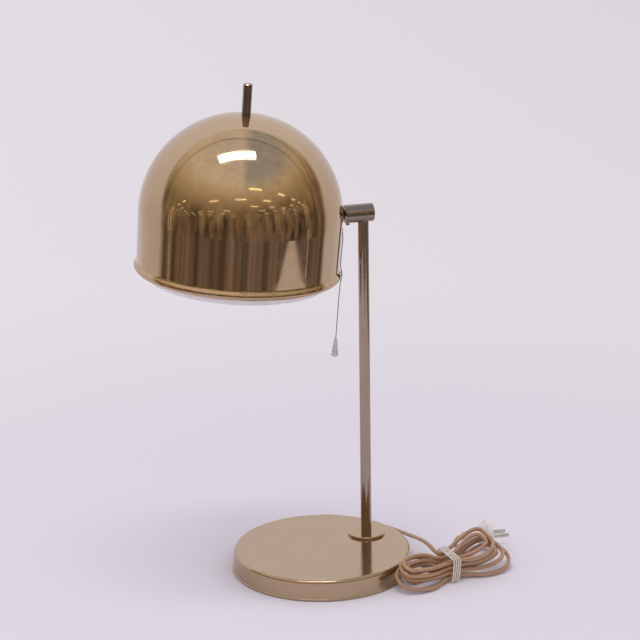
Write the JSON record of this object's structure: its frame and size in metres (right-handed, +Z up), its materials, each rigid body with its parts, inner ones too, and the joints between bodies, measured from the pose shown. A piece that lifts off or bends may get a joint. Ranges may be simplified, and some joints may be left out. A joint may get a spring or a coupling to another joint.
{
  "type": "dome shade desk lamp",
  "caption": "Table lamp with a mirror-finish dome shade on a tilting swivel arm, an offset stem on a round weighted base, a pull switch, an opal diffuser and a tied mains cord.",
  "frame": {"origin": "centre of the base's underside, on the table", "axes": "+Z up along the stem; the arm reaches from the stem towards -X; +Y is the far side, where the cord leaves the base"},
  "size_m": [0.4103, 0.2442, 0.5505],
  "materials": {
    "gold_aluminium": "spun, mirror polished under a smoked gold lacquer",
    "bronzed_metal": "dark bronzed and polished",
    "brass": "turned, bare",
    "zinc_steel": "zinc plated",
    "cast_iron": "rough cast",
    "felt": "pressed felt",
    "nylon": "moulded nylon",
    "holder_plastic": "moulded phenolic",
    "gland_plastic": "moulded brown plastic",
    "bulb_metal": "rolled thread",
    "frosted_glass": "frosted",
    "pull_thread": "twisted thread",
    "clear_plastic": "clear moulded",
    "opal_plastic": "opal moulded",
    "cord_sheath": "brown vinyl sheath",
    "elastic_band": "cream elastic band",
    "plug_plastic": "moulded beige-brown plastic",
    "plated_pins": "nickel plated"
  },
  "bodies": {
    "base": {"base_cover": "gold_aluminium", "base_weight": "cast_iron", "base_plate": "zinc_steel", "base_pad": "felt", "base_screws": "zinc_steel", "stem_tube": "bronzed_metal", "stem_collar": "gold_aluminium", "foot_nipple": "brass", "foot_washer": "zinc_steel", "foot_nut": "brass", "swivel_pin": "brass", "swivel_clip": "zinc_steel", "swivel_washer": "nylon", "cord_gland": "gland_plastic", "gland_nut": "gland_plastic", "inner_cable": "cord_sheath", "cord_lead": "cord_sheath", "cord_hank": "cord_sheath", "cord_tail": "cord_sheath", "cord_tie": "elastic_band", "plug_back": "plug_plastic", "plug_face": "plug_plastic", "plug_pins": "plated_pins", "plug_screw": "zinc_steel"},
    "arm": {"joint_barrel": "bronzed_metal", "barrel_cap": "bronzed_metal", "saddle_washer": "nylon", "ball_spring": "zinc_steel", "ball_seat": "nylon", "retaining_ring": "nylon", "set_screw": "zinc_steel"},
    "neck": {"ball_neck": "brass", "neck_washer": "zinc_steel", "neck_nut": "brass"},
    "shade": {"shade_dome": "gold_aluminium", "handle_rod": "bronzed_metal", "shade_stud": "zinc_steel", "stud_washer": "zinc_steel", "stud_nut": "brass", "holder_cap": "holder_plastic", "holder_sleeve": "holder_plastic", "holder_insert": "holder_plastic", "holder_shell": "brass", "holder_contact": "brass", "bulb_cap": "bulb_metal", "bulb_glass": "frosted_glass", "cord_eyelet": "brass", "switch_box": "holder_plastic", "pull_cord": "pull_thread", "diffuser_clips": "zinc_steel", "shade_cable": "cord_sheath"},
    "pull": {"cord_pull": "clear_plastic"},
    "diffuser": {"diffuser": "opal_plastic"}
  },
  "joints": [
    {"name": "arm_swivel", "type": "hinge", "parent": "base", "child": "arm", "pos_m": [0.0583, 0.0228, 0.3976], "axis": [0, 0, 1], "range_deg": [-165, 165]},
    {"name": "neck_tilt", "type": "hinge", "parent": "arm", "child": "neck", "pos_m": [0.0458, 0.0228, 0.3976], "axis": [0, 1, 0], "range_deg": [-16.6, 7.4]},
    {"name": "shade_turn", "type": "hinge", "parent": "neck", "child": "shade", "pos_m": [0.0458, 0.0228, 0.3976], "axis": [-0.9968, 0, 0.0802], "range_deg": [-60, 60]},
    {"name": "pull_switch", "type": "slide", "parent": "shade", "child": "pull", "axis": [-0.0802, 0, -0.9968], "range_m": [0, 0.006], "stiffness_N_per_m": 300, "deforming": ["pull_cord"]},
    {"name": "diffuser_drop", "type": "slide", "parent": "shade", "child": "diffuser", "axis": [-0.0802, 0, -0.9968], "range_m": [0, 0.07]}
  ]
}
